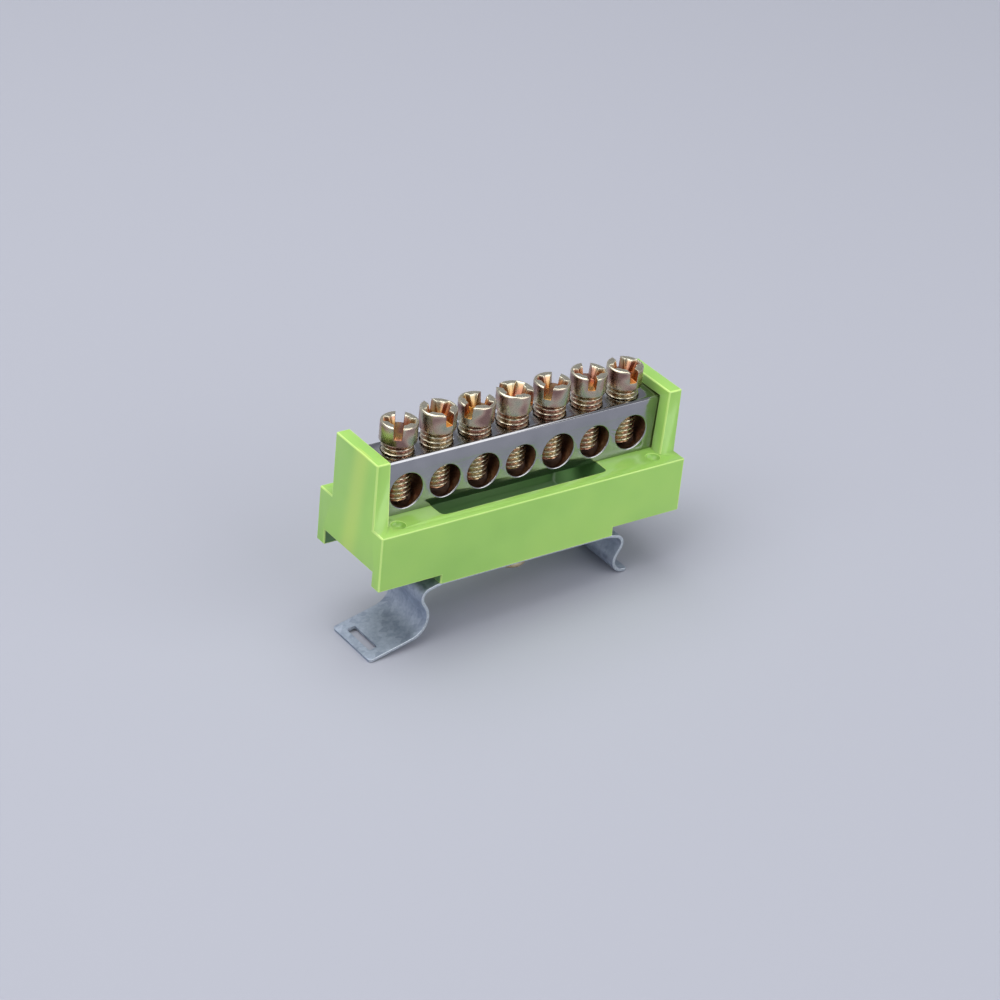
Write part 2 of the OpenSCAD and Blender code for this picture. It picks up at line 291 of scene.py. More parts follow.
def polyamide(name, greens, scatter):
    """Moulded polyamide whose pigment drifts between three greens."""
    material, tree = new_material(name)
    where = add(tree, "ShaderNodeTexCoord").outputs["Object"]
    drift = add(tree, "ShaderNodeTexNoise", {"Vector": where, "Scale": 1 / DRIFT, "Detail": 2.0})
    stops = list(zip((0.3, 0.52, 0.75), greens))
    green = add(tree, "ShaderNodeValToRGB", {"Fac": drift.outputs["Fac"]}, stops).outputs["Color"]
    weld = {"Factor": weld_line(tree, where), "A": green, "B": linear("#bcd567")}
    colour = add(tree, "ShaderNodeMix", weld, data_type="RGBA")
    ripple = add(tree, "ShaderNodeTexNoise", {"Vector": where, "Scale": 1 / RIPPLE, "Detail": 2.0})
    waves = ripple.outputs["Fac"]
    gloss = add(tree, "ShaderNodeMapRange", {"Value": waves, **NOISE_SPAN, "To Min": 0.25, "To Max": 0.27})
    relief = add(tree, "ShaderNodeBump", {"Height": waves, "Strength": 0.1, "Distance": 0.01 * MM})
    shader = add(
        tree,
        "ShaderNodeBsdfPrincipled",
        {
            "Base Color": colour.outputs["Result"],
            "Roughness": gloss.outputs["Result"],
            "IOR": 1.53,
            "Subsurface Weight": scatter,
            "Subsurface Scale": 0.6 * MM,
            "Subsurface Radius": (0.8, 1.0, 0.35),
            "Normal": relief.outputs["Normal"],
        },
    )
    add(tree, "ShaderNodeOutputMaterial", {"Surface": shader.outputs["BSDF"]})
    return material


body_green = polyamide("green_polyamide_moulded", ("#94c35e", "#9bc962", "#a3ce65"), 0.1)
# The paler greens along the edges are a painted highlight, standing in for light that enters an edge from
# two sides.
edge_painted_highlight_green = polyamide("green_polyamide_painted_highlight", ("#b8dc78", "#c0e27e", "#c8e886"), 0.1)
# The darker greens in the hollows are painted shade.
hollow_painted_shade_green = polyamide("green_polyamide_painted_shade", ("#5f8a50", "#658f55", "#6b945a"), 0.02)
print("polyamide:", len(body_green.node_tree.nodes), "nodes")

# %% [markdown]
# The base's shape is the measured solid. A copy of it gets what the drawing leaves out: the small radius
# that every moulded edge has, which catches a thin line of light. The copy's loose triangles are merged
# and its flat faces made whole first, because a bevel needs clean edges to run along.


# %% Rounded copies of measured solids
def show(name, mesh, material, body, slot, *stands_for):
    """Puts a mesh into the scene as a piece that rides on a body and stands for the named nodes."""
    mesh.materials.clear()
    mesh.materials.append(material)
    piece = bpy.data.objects.new(name, mesh)
    bpy.context.scene.collection.objects.link(piece)
    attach(piece, body)
    if stands_for:
        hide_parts(*stands_for)
    return piece


def clean_copy(node, angle=28, short=0.0, short_weight=1.0):
    """A merged copy of a node's mesh, with each flat face in one polygon, smooth shading, and a bevel
    weight on each outward edge that turns by more than the angle: 1, or less on edges that are short,
    because those run round small marks that have no room for the full radius."""
    mesh = nodes[node].data.copy()
    work = bmesh.new()
    work.from_mesh(mesh)
    bmesh.ops.remove_doubles(work, verts=work.verts, dist=0.001 * MM)
    bmesh.ops.dissolve_limit(
        work, angle_limit=math.radians(0.5), verts=work.verts, edges=work.edges, delimit=set()
    )
    weight = work.edges.layers.float.new("bevel_weight_edge")
    for edge in work.edges:
        if edge.is_convex and edge.calc_face_angle(0) > math.radians(angle):
            edge[weight] = short_weight if edge.calc_length() < short else 1.0
    for face in work.faces:
        face.smooth = True
    work.to_mesh(mesh)
    work.free()
    return mesh


def round_edges(piece, radius, segments=3):
    """A bevel along every edge that has a bevel weight, then normals that keep the flats flat."""
    bevel = piece.modifiers.new("edge_radius", "BEVEL")
    bevel.width = radius
    bevel.segments = segments
    bevel.limit_method = "WEIGHT"
    bevel.harden_normals = True
    bevel.miter_outer = "MITER_ARC"
    bevel.use_clamp_overlap = False
    return bevel


print("helpers: show, clean_copy, round_edges")

# %% [markdown]
# The base wears all three greens. The bevel gives its new faces the pale one, a painted highlight. The
# faces that lie inside the outline and below the ledge get the dark one, painted shade: the trough, the
# pockets and the stepped underside.

# %% The base in its three greens
BASE_EDGE_R = 0.22 * MM
ARC_EDGE = 0.8 * MM  # shorter edges belong to arcs round the marks and the trough's corners
ARC_WEIGHT = 0.3
WALL = 0.8 * MM  # less than the thinnest outer wall
MARK_ZONE = 1 * MM  # the marks in the ledge are shallower than this
UNDERSIDE = 0.1 * MM  # the lowest face, which the clip touches, keeps the outer green
BODY, EDGE_STRIP, HOLLOW = 0, 1, 2  # places in the list of materials


def face_values(mesh, name):
    """One vector per face, such as its center or normal, as an array."""
    values = np.empty(3 * len(mesh.polygons))
    mesh.polygons.foreach_get(name, values)
    return values.reshape(-1, 3)


base_mesh = clean_copy("base", short=ARC_EDGE, short_weight=ARC_WEIGHT)
base = show("moulded_base", base_mesh, body_green, PART, "green_plastic", "base")
base_mesh.materials.append(edge_painted_highlight_green)
base_mesh.materials.append(hollow_painted_shade_green)
# The bevel's faces take the paler green, which is a painted highlight.
round_edges(base, BASE_EDGE_R).material = EDGE_STRIP
# Faces in the hollows get the darker green, which is painted shade.
centre = face_values(base_mesh, "center")
to_side = np.minimum(centre - base_low, base_high - centre)[:, :2].min(axis=1)
hollow = to_side > WALL
hollow &= centre[:, 2] < ledge_z - MARK_ZONE
hollow &= centre[:, 2] > base_low[2] + UNDERSIDE
base_mesh.polygons.foreach_set("material_index", np.where(hollow, HOLLOW, BODY).astype(np.int32))
print("base:", len(base_mesh.polygons), "faces,", int(hollow.sum()), "of them in the hollows")

# %% [markdown]
# ## Terminal bar: nickel-plated brass
#
# Bright nickel is laid over drawn brass. It mirrors nearly as well as chrome, but is a little warmer, and
# drawing leaves very faint lines along the bar, with a soft haze between them. Inside the holes hardly
# any nickel is laid down: the drilled brass there is brown and dull, and its brown is painted darker still,
# as painted shade inside the holes.

# %% Material of the bar
DRAW_LENGTH = 9 * MM  # a drawn line can be followed for about this far along the bar
DRAW_WIDTH = 0.12 * MM  # lines are finer on the real bar; this is as coarse as shows
HAZE = 4 * MM  # how far apart the hazy places are

nickel, tree = new_material("bright_nickel_on_drawn_brass")
where = add(tree, "ShaderNodeTexCoord").outputs["Object"]
shrink = (1 / DRAW_LENGTH, 1 / DRAW_WIDTH, 1 / DRAW_WIDTH)
stretched = add(tree, "ShaderNodeMapping", {"Vector": where, "Scale": shrink}).outputs["Vector"]
lines = add(tree, "ShaderNodeTexNoise", {"Vector": stretched, "Scale": 1.0, "Detail": 2.0}).outputs["Fac"]
haze = add(tree, "ShaderNodeTexNoise", {"Vector": where, "Scale": 1 / HAZE, "Detail": 3.0}).outputs["Fac"]
metal = add(tree, "ShaderNodeValToRGB", {"Fac": haze}, [(0.3, "#9fa0a3"), (0.7, "#a9a9ac")])
gloss = add(tree, "ShaderNodeMapRange", {"Value": lines, **NOISE_SPAN, "To Min": 0.1, "To Max": 0.17})
relief = add(tree, "ShaderNodeBump", {"Height": lines, "Strength": 0.12, "Distance": 0.004 * MM})
shader = add(
    tree,
    "ShaderNodeBsdfPrincipled",
    {
        "Base Color": metal.outputs["Color"],
        "Metallic": 1.0,
        "Roughness": gloss.outputs["Result"],
        "Normal": relief.outputs["Normal"],
    },
)
add(tree, "ShaderNodeOutputMaterial", {"Surface": shader.outputs["BSDF"]})
print("nickel:", len(tree.nodes), "nodes")

# %% [markdown]
# A drill leaves bare brass, which turns dull and unevenly brown; the browns here are also darkened as
# painted shade for the inside of the holes. The walls of the holes could be pieces of their own, but they
# are faces of the bar, so a second material on the same mesh is enough.

# %% Material of the holes
DRILL_MARKS = 0.3 * MM  # a drill's marks are finer; this is as coarse as shows

bored, tree = new_material("bored_brass_painted_shade")
where = add(tree, "ShaderNodeTexCoord").outputs["Object"]
drill = add(tree, "ShaderNodeTexNoise", {"Vector": where, "Scale": 1 / DRILL_MARKS, "Detail": 2.0})
# These browns are bare brass, darkened as painted shade for the inside of the holes.
brown = add(tree, "ShaderNodeValToRGB", {"Fac": drill.outputs["Fac"]}, [(0.3, "#6d564a"), (0.7, "#8a6f5c")])
look = {"Base Color": brown.outputs["Color"], "Metallic": 1.0, "Roughness": 0.34}
shader = add(tree, "ShaderNodeBsdfPrincipled", look)
add(tree, "ShaderNodeOutputMaterial", {"Surface": shader.outputs["BSDF"]})
print("bored brass:", len(tree.nodes), "nodes")

# %% [markdown]
# A face of the bar belongs to a hole when its middle lies deeper than a small skin inside the bar's box.
# That needs no list of faces, so it holds when the bar changes. A drawn bar has crisp edges: their radius
# is a fraction of the base's.

# %% The bar with its holes
SKIN = 0.14 * MM
BAR_EDGE_R = 0.05 * MM

bar = show("plated_bar", clean_copy("terminal_bar"), nickel, PART, "nickel_plate", "terminal_bar")
bar.data.materials.append(bored)
centre = face_values(bar.data, "center")
in_hole = np.minimum(centre - bar_low, bar_high - centre).min(axis=1) > SKIN
bar.data.polygons.foreach_set("material_index", in_hole.astype(np.int32))
round_edges(bar, BAR_EDGE_R, segments=2)
print("bar:", len(bar.data.polygons), "faces,", int(in_hole.sum()), "of them in its holes")

# %% [markdown]
# ## Surfaces from arrays
#
# The screws, the clip and the rivet are computed. Each is a grid of points: rows along the piece, columns
# round it. One function joins such a grid into faces, closing it round and at both ends.


# %% A closed tube from a grid of points
def tube_faces(rows, columns):
    """Quads joining each point to its neighbours, wrapped round, and a fan to one more point at each end."""
    i = np.arange(rows - 1)[:, None] * columns
    j = np.arange(columns)[None, :]
    k = (j + 1) % columns
    quads = np.stack([i + j, i + k, i + columns + k, i + columns + j], axis=-1).reshape(-1, 4)
    start, end = rows * columns, rows * columns + 1
    last = (rows - 1) * columns
    j, k = j[0], k[0]
    first_fan = np.stack([np.full(columns, start), k, j], axis=-1)
    last_fan = np.stack([np.full(columns, end), last + j, last + k], axis=-1)
    return quads.tolist() + first_fan.tolist() + last_fan.tolist()


def tube_mesh(name, grid):
    """A closed mesh from a (rows, columns, 3) grid; each end's extra point is the middle of its row.
    The columns run anticlockwise round the way the rows go, or they are turned over: the sum of
    (area of each row seen along the step to the next) is positive when the faces point outwards."""
    step = np.diff(grid.mean(axis=1), axis=0)
    middle = grid - grid.mean(axis=1, keepdims=True)
    area = np.cross(middle, np.roll(middle, -1, axis=1)).sum(axis=1) / 2
    if (area[:-1] * step).sum() < 0:
        grid = grid[:, ::-1]
    rows, columns, _ = grid.shape
    points = np.concatenate([grid.reshape(-1, 3), grid[[0, -1]].mean(axis=1)])
    mesh = bpy.data.meshes.new(name)
    mesh.from_pydata(points.tolist(), [], tube_faces(rows, columns))
    mesh.shade_smooth()
    mesh.update()
    return mesh


print("a 3 x 4 tube has", len(tube_faces(3, 4)), "faces")

# %% [markdown]
# Most small metal parts are turned on a lathe. A profile of radius and height is enough for them, with
# arcs for the rounded corners. A Screw modifier could spin it too, but an array can be cut and joined.


# %% Turned shapes
def turned(profile, columns=96):
    """Turns a profile of (radius, height) points about Z: x = r cos t, y = r sin t, z = h."""
    r, h = np.array(profile, float).T
    t = np.linspace(0, 2 * math.pi, columns, endpoint=False)
    return np.stack([np.outer(r, np.cos(t)), np.outer(r, np.sin(t)), np.outer(h, np.ones(columns))], axis=-1)


def fillet(centre, radius, start, end, steps=6):
    """Points of an arc in the (radius, height) plane, from one angle to another in degrees: the centre,
    plus the radius times the angle's cosine and sine."""
    a = np.radians(np.linspace(start, end, steps))
    return (np.array(centre) + radius * np.stack([np.cos(a), np.sin(a)], axis=-1)).tolist()


quarter_arc = fillet((0, 0), 1, 0, 90)
print("a quarter arc ends at", np.round(quarter_arc[-1], 3))

# %% [markdown]
# ## Clamping screws: zinc plate with yellow passivation
#
# Steel screws are plated with zinc and dipped in chromate. The film is a few tenths of a micron thick and
# shows as pale straw with a pink or green cast, and it lies thicker in threads and recesses, where it
# turns to amber and copper. An attribute on the mesh, "film", says how thick it is, and a second one
# where the colour goes pale: on the thread's crests, where handling has rubbed the film off, and on the
# topmost edges of the head, where the paleness is a painted highlight along the rim.

# %% Material of the screws
CAST = 2.4 * MM  # how far apart the film's pink and green places are
PLATE_GRAIN = 0.25 * MM  # the plate's crystals are far finer; this is as coarse as shows

zinc, tree = new_material("zinc_plate_yellow_passivated")
where = add(tree, "ShaderNodeTexCoord").outputs["Object"]
film = add(tree, "ShaderNodeAttribute", attribute_name="film").outputs["Fac"]
wear_and_highlight = add(tree, "ShaderNodeAttribute", attribute_name="wear_and_highlight").outputs["Fac"]
cast = add(tree, "ShaderNodeTexNoise", {"Vector": where, "Scale": 1 / CAST, "Detail": 0.5}).outputs["Fac"]
pale = [(0.34, "#a4ab9b"), (0.45, "#b9b2a0"), (0.54, "#b59c90"), (0.66, "#8c716b")]
amber = [(0.38, "#b58d52"), (0.5, "#bd8450"), (0.62, "#a4705a")]
thin = add(tree, "ShaderNodeValToRGB", {"Fac": cast}, pale).outputs["Color"]
thick = add(tree, "ShaderNodeValToRGB", {"Fac": cast}, amber).outputs["Color"]
tint = add(tree, "ShaderNodeMix", {"Factor": film, "A": thin, "B": thick}, data_type="RGBA")
# The pale colour stands for rubbed plate on the thread's crests, and for a painted highlight on the head's
# topmost edges.
bare_and_highlight = {"A": tint.outputs["Result"], "B": linear("#e0dac2")}
rubbed_and_highlight = add(tree, "ShaderNodeMapRange", {"Value": wear_and_highlight, "To Max": 0.85}, interpolation_type="SMOOTHSTEP")
tint = add(tree, "ShaderNodeMix", {"Factor": rubbed_and_highlight.outputs["Result"], **bare_and_highlight}, data_type="RGBA")
grain = add(tree, "ShaderNodeTexNoise", {"Vector": where, "Scale": 1 / PLATE_GRAIN, "Detail": 3.0})
grain = grain.outputs["Fac"]
gloss = add(tree, "ShaderNodeMapRange", {"Value": grain, **NOISE_SPAN, "To Min": 0.22, "To Max": 0.32})
relief = add(tree, "ShaderNodeBump", {"Height": grain, "Strength": 0.06, "Distance": 0.01 * MM})
shader = add(
    tree,
    "ShaderNodeBsdfPrincipled",
    {
        "Base Color": tint.outputs["Result"],
        "Metallic": 1.0,
        "Roughness": gloss.outputs["Result"],
        "Normal": relief.outputs["Normal"],
    },
)
add(tree, "ShaderNodeOutputMaterial", {"Surface": shader.outputs["BSDF"]})
print("zinc:", len(tree.nodes), "nodes")

# %% [markdown]
# The head is a turned shape with a slot cut right across it and a shorter cross arm inside the rim. A
# grid can't hold such a cut, so the turned head is made first, and three tapered punches are taken away
# from it with Boolean modifiers, as the real head is struck by a tapered punch.

# %% Sizes of the head, and its punches
HEAD_R = 2.85 * MM
HEAD_H = 3.4 * MM
HEAD_BEVEL = 0.35 * MM
RIM = 0.26 * MM
DRIVE_DEPTH = 1.9 * MM
DRIVE_TOP = 1.4 * MM
DRIVE_FLOOR = 1.15 * MM
CROSS_TOP = 4.8 * MM
CROSS_FLOOR = 3.4 * MM
CONE_TOP_R = 1.75 * MM
CONE_FLOOR_R = 1.1 * MM
STRUCK_EDGE_R = 0.07 * MM
ABOVE = 0.5 * MM  # each punch stands this far above the head, so that no skin is left there


def punch(name, top, floor, depth):
    """A closed tapered block: a rectangle of size floor at that depth, which grows in proportion to
    height so that it has the size top at the head's top, and goes on above it."""
    grow = 1 + ABOVE / depth
    size = np.array([floor, np.array(floor) + (np.array(top) - np.array(floor)) * grow])
    corner = np.array([(-1, -1), (1, -1), (1, 1), (-1, 1)]) / 2
    z = np.array([HEAD_H - depth, HEAD_H + ABOVE])
    grid = np.stack(
        [
            size[:, None, 0] * corner[None, :, 0],
            size[:, None, 1] * corner[None, :, 1],
            np.repeat(z[:, None], 4, axis=1),
        ],
        axis=-1,
    )
    return bpy.data.objects.new(name, tube_mesh(name, grid))


print("punches taper from", DRIVE_TOP / MM, "to", round(DRIVE_FLOOR / MM, 2), "mm across the slot")

# %% [markdown]
# Where a cutter meets a blank, the new edges are hard to work out by hand, and a Boolean modifier finds
# them exactly. There is one for each cutter, then a small bevel on the edges that are left, and all of
# them are applied at once, so that the piece is a plain mesh.


# %% Cutting one mesh with others
def settled(piece):
    """The piece's mesh with its modifiers applied, as a new mesh."""
    bpy.context.view_layer.update()
    graph = bpy.context.evaluated_depsgraph_get()
    return bpy.data.meshes.new_from_object(piece.evaluated_get(graph))


def cut(mesh, cutters, rounding):
    """Takes the cutters away from the mesh, one by one, and rounds the edges that are left."""
    piece = bpy.data.objects.new("blank", mesh)
    bpy.context.scene.collection.objects.link(piece)
    for cutter in cutters:
        bpy.context.scene.collection.objects.link(cutter)
        step = piece.modifiers.new(cutter.name, "BOOLEAN")
        step.operation = "DIFFERENCE"
        step.solver = "EXACT"
        step.object = cutter
    if rounding:
        bevel = round_edges(piece, rounding, segments=2)
        bevel.limit_method = "ANGLE"
        bevel.angle_limit = math.radians(35)  # the steps of an arc turn by less
        bevel.harden_normals = False
    done = settled(piece)
    for thing in (piece, *cutters):
        bpy.data.objects.remove(thing)
    return done


print("helpers: settled, cut")

# %% [markdown]
# The blank's profile has a small bevel below and a round rim above. A cone and two blocks are struck into
# it, and every edge that they leave is rounded a little.

# %% The head struck from its blank
head_profile = (
    [
        (0.6 * HEAD_R, 0),
        (HEAD_R - HEAD_BEVEL, 0),
        (HEAD_R - 0.04 * MM, HEAD_BEVEL * 0.8),
        (HEAD_R, HEAD_BEVEL + 0.05 * MM),
    ]
    + fillet((HEAD_R - RIM, HEAD_H - RIM), RIM, 0, 90)
    + [(0.5 * HEAD_R, HEAD_H)]
)
flare = (CONE_TOP_R - CONE_FLOOR_R) / DRIVE_DEPTH
cone = [(CONE_FLOOR_R, HEAD_H - DRIVE_DEPTH), (CONE_TOP_R + ABOVE * flare, HEAD_H + ABOVE)]
punches = [
    bpy.data.objects.new("cone_punch", tube_mesh("cone_punch", turned(cone, 32))),
    punch("slot_punch", (3 * HEAD_R, DRIVE_TOP), (3 * HEAD_R, DRIVE_FLOOR), DRIVE_DEPTH),
    punch("cross_punch", (DRIVE_TOP, CROSS_TOP), (DRIVE_FLOOR, CROSS_FLOOR), DRIVE_DEPTH),
]
head_mesh = cut(tube_mesh("head_blank", turned(head_profile)), punches, STRUCK_EDGE_R)
print("head:", len(head_mesh.polygons), "faces")

# %% [markdown]
# The thread is a surface of two parameters, the angle and the height. At each point the phase of the
# helix says how far up the flank it is, so the radius follows a truncated triangle: the standard
# 60 degree profile, with a flat crest and a wider flat root.

# %% Thread
SHANK = 9.3 * MM  # from the tip to the head's underside
INTO_HEAD = 0.3 * MM  # the thread's mesh ends inside the head
PITCH = 0.8 * MM
MAJOR_R = 2.45 * MM
THREAD_DEPTH = 0.42 * MM
TIP_BEVEL = 0.55 * MM
TIP_SLOPE = 0.9  # how fast the bevelled tip widens, for each step up
RUN_OUT = 0.5 * MM
CREST, FLANK = 0.125, 0.625  # shares of half a pitch: half the flat crest, and one flank
CREST_FILM, ROOT_FILM = 0.25, 0.65
CREST_WEAR = 0.8


def thread_grid(length, columns=56, per_pitch=16):
    """Radius of an outer thread at angle t and height z: the crest's radius less the depth, times how far
    z / pitch - t / 2 pi is from a crest, held between 0 and 1. It dies out under the head, and a cone cuts
    it off at the tip. Returns the points, and the film and the wear at each."""
    rows = int(length / PITCH * per_pitch)
    z = np.linspace(0, length, rows)[:, None]
    t = np.linspace(0, 2 * math.pi, columns, endpoint=False)[None, :]
    phase = (z / PITCH - t / (2 * math.pi)) % 1
    away = np.abs(2 * phase - 1)
    drop = np.clip((away - CREST) / FLANK, 0, 1)
    run_out = np.clip((length - z) / RUN_OUT, 0, 1)
    root = MAJOR_R - THREAD_DEPTH
    r = root + (MAJOR_R - root) * (1 - drop) * run_out
    r = np.minimum(r, MAJOR_R - TIP_BEVEL + z * TIP_SLOPE)
    x, y, z = r * np.cos(t), r * np.sin(t), z + 0 * t
    depth = np.clip((MAJOR_R - r) / THREAD_DEPTH, 0, 1)
    film = CREST_FILM + (ROOT_FILM - CREST_FILM) * depth
    return np.stack([x, y, z], axis=-1), film, CREST_WEAR * (1 - depth)


shank_grid, shank_film, shank_worn = thread_grid(SHANK + INTO_HEAD)
print("thread:", shank_grid.shape[0], "rows of", shank_grid.shape[1])

# %% [markdown]
# Head and thread are one piece of steel. Here they are two closed surfaces in one mesh, joined as arrays,
# because the thread's end is hidden in the head. The film's thickness grows with depth below the head's
# top, inside the rim, and the head's topmost edges are made pale: a painted highlight along the rim.

# %% One whole screw
# The head's painted rim highlight reaches this far down from its top.
RIM_HIGHLIGHT_DEPTH = 0.4 * MM
OUTER_FILM, RIM_FILM = 0.1, 0.45  # on the head's outside, and at the recess's upper edge
FILM_RISE = 1.6 * MM  # the film grows by one in this depth
END_POINT_FILM = 0.4  # for the points in the middle of the tip and of the hidden end


def mesh_arrays(mesh):
    """A mesh's points as an array and its faces as lists of point numbers."""
    co = np.empty(3 * len(mesh.vertices))
    mesh.vertices.foreach_get("co", co)
    return co.reshape(-1, 3), [list(face.vertices) for face in mesh.polygons]


def head_film(points):
    """Film on the head: thin outside, and held at one low in the recess. Painted rim highlight: 1 less the
    depth below the top over the highlight's depth, which falls below 0 further down, where the material
    holds it at 0."""
    radius = np.hypot(points[:, 0], points[:, 1])
    depth = HEAD_H - points[:, 2]
    inside = (radius < HEAD_R - 0.02 * MM) & (depth > 0.05 * MM) & (depth < DRIVE_DEPTH + 0.1 * MM)
    film = np.where(inside, np.clip(RIM_FILM + depth / FILM_RISE, 0, 1), OUTER_FILM)
    return film, 1 - depth / RIM_HIGHLIGHT_DEPTH


head_points, head_faces = mesh_arrays(head_mesh)
film_on_head, head_rim_highlight = head_film(head_points)
shank_points = np.concatenate([shank_grid.reshape(-1, 3), shank_grid[[0, -1]].mean(axis=1)])
shank_faces = tube_faces(*shank_grid.shape[:2])
screw_film = np.concatenate([shank_film.reshape(-1), [END_POINT_FILM] * 2, film_on_head])
# The second attribute joins crest wear on the thread and the painted rim highlight on the head.
screw_wear_and_highlight = np.concatenate([shank_worn.reshape(-1), [0, 0], head_rim_highlight])
screw_points = np.concatenate([shank_points, head_points + np.array([0, 0, SHANK])])
screw_faces = shank_faces + [[i + len(shank_points) for i in face] for face in head_faces]
print("one screw:", len(screw_points), "points,", len(screw_faces), "faces")

# %% [markdown]
# All seven screws are alike, but each was left at its own height and turned its own way. Seven objects
# could share one mesh, but each piece has to sit at the origin with its place in its mesh. So the points
# are turned about the screw's axis and put where the frame has that screw.

# %% Seven screws
SLOT_TURNS = dict(zip(screw_names, (55, 94, 30, 126, 42, 66, 84)))

for node in screw_names:
    low, high = node_box(node)
    a = math.radians(SLOT_TURNS[node])
    spin = np.array([[math.cos(a), math.sin(a), 0], [-math.sin(a), math.cos(a), 0], [0, 0, 1]])
    axis = np.array([(low[0] + high[0]) / 2, (low[1] + high[1]) / 2, low[2]])
    mesh = bpy.data.meshes.new(node + "_threaded")
    mesh.from_pydata((screw_points @ spin + axis).tolist(), [], screw_faces)
    mesh.attributes.new("film", "FLOAT", "POINT").data.foreach_set("value", screw_film)
    mesh.attributes.new("wear_and_highlight", "FLOAT", "POINT").data.foreach_set("value", screw_wear_and_highlight)
    mesh.shade_smooth()
    mesh.set_sharp_from_angle(angle=math.radians(38))
    show(node + "_threaded", mesh, zinc, node, "passivated_steel", node)
print("screws:", {node: SLOT_TURNS[node] for node in screw_names}, "degrees")

# %% [markdown]
# ## Spring clip: galvanised spring steel
#
# The clip is one strip, folded. Its middle line is a path of straights and bends, and its section is a thin
# rectangle with slightly rounded edges, carried square to that path. Hot-dip zinc crystallises into
# large pale and dark flakes, called spangle, and dulls to a blue grey. The sheared sides of the strip
# were cut after plating: they are bright, and catch the light as a thin line.

# %% Material of the clip
SPANGLE = 1.1 * MM  # the width of a flake
ZINC_GRAIN = 0.5 * MM  # how far apart the dull places within the flakes are

galvanised, tree = new_material("galvanised_spring_steel")
where = add(tree, "ShaderNodeTexCoord").outputs["Object"]
flakes = add(tree, "ShaderNodeTexVoronoi", {"Vector": where, "Scale": 1 / SPANGLE, "Randomness": 1.0})
flake = add(tree, "ShaderNodeSeparateColor", {"Color": flakes.outputs["Color"]}).outputs["Red"]
dulled = add(tree, "ShaderNodeTexNoise", {"Vector": where, "Scale": 1 / ZINC_GRAIN, "Detail": 4.0})
both = {"Factor": 0.65, "A": flake, "B": dulled.outputs["Fac"]}
mixed = add(tree, "ShaderNodeMix", both).outputs["Result"]
greys = [(0.25, "#97a1b2"), (0.5, "#a8b2c1"), (0.8, "#bcc5d2")]
zinc_grey = add(tree, "ShaderNodeValToRGB", {"Fac": mixed}, greys)
gloss = add(tree, "ShaderNodeMapRange", {"Value": mixed, "To Min": 0.52, "To Max": 0.68})
relief = add(tree, "ShaderNodeBump", {"Height": mixed, "Strength": 0.35, "Distance": 0.01 * MM})
shader = add(
    tree,
    "ShaderNodeBsdfPrincipled",
    {
        "Base Color": zinc_grey.outputs["Color"],
        "Metallic": 1.0,
        "Roughness": gloss.outputs["Result"],
        "Normal": relief.outputs["Normal"],
    },
)
add(tree, "ShaderNodeOutputMaterial", {"Surface": shader.outputs["BSDF"]})
print("galvanised:", len(tree.nodes), "nodes")

# %% [markdown]
# A shear leaves the strip's sides bright, with no spangle but a short torn grain. They look along Y all
# the way round the folds, so a second material on those faces is simpler than a piece of its own.

# %% Material of the sheared sides
SHEAR_GRAIN = 0.35 * MM  # the torn grain is finer; this is as coarse as shows

cut_steel, tree = new_material("sheared_steel_edge")
where = add(tree, "ShaderNodeTexCoord").outputs["Object"]
shear = add(tree, "ShaderNodeTexNoise", {"Vector": where, "Scale": 1 / SHEAR_GRAIN, "Detail": 3.0})
bright = add(tree, "ShaderNodeValToRGB", {"Fac": shear.outputs["Fac"]}, [(0.3, "#b9c2ca"), (0.7, "#dbe2e7")])
look = {"Base Color": bright.outputs["Color"], "Metallic": 1.0, "Roughness": 0.42}
shader = add(tree, "ShaderNodeBsdfPrincipled", look)
add(tree, "ShaderNodeOutputMaterial", {"Surface": shader.outputs["BSDF"]})
print("sheared steel:", len(tree.nodes), "nodes")

# %% [markdown]
# A press brake folds the strip one bend after another, so the path is written the same way: a list of
# straights and bends, from the middle of the web outwards. The two legs differ only in their last fold and
# in the length beyond it, which is a short foot on one side and the release tongue on the other.


# %% Bends of one leg
STRIP_T = 0.5 * MM
STRIP_W = 10.4 * MM
RAIL_W = 35 * MM
PLAY = 0.6 * MM  # room at each edge of the rail
BITE = 0.6 * MM  # how far each fold reaches in past the rail's edge
SHOULDER = (6 * MM, 15)  # the first bend's radius, and its turn in degrees
SHOULDER_L = 1.3 * MM  # the straight after it
BEND_R = 1.5 * MM
LEAN = 30  # how far the legs lean in under the rail's flange, in degrees
FOOT = (2 * MM, 8, 1 * MM)  # its fold's radius, its slope in degrees and the length beyond the fold
TONGUE = (3.4 * MM, 13.8, 7.5 * MM)  # the same for the release tongue


def leg_steps(fold_r, slope, length):
    """A leg's straights (0, length) and bends (radius, turn in degrees, down being positive)."""
    lean = math.radians(LEAN)
    leg = (PLAY + BITE - (BEND_R + fold_r) * (1 - math.cos(lean))) / math.sin(lean)
    return [
        SHOULDER,
        (0, SHOULDER_L),
        (BEND_R, 90 + LEAN - SHOULDER[1]),
        (0, leg),
        (fold_r, slope - 90 - LEAN),
        (0, length),
    ]


print("one leg:", len(leg_steps(*FOOT)), "steps after the web")

# %% [markdown]
# The steps are then walked. On a straight the heading stays; on a bend it turns evenly. Each bend's points
# come from the arc itself, so the strip keeps its length, which points set by hand would not promise.

# %% Path of the folded strip
STATION = 0.5 * MM  # stations on a straight are about this far apart
ARC_STATION = 4  # and on a bend about this many degrees


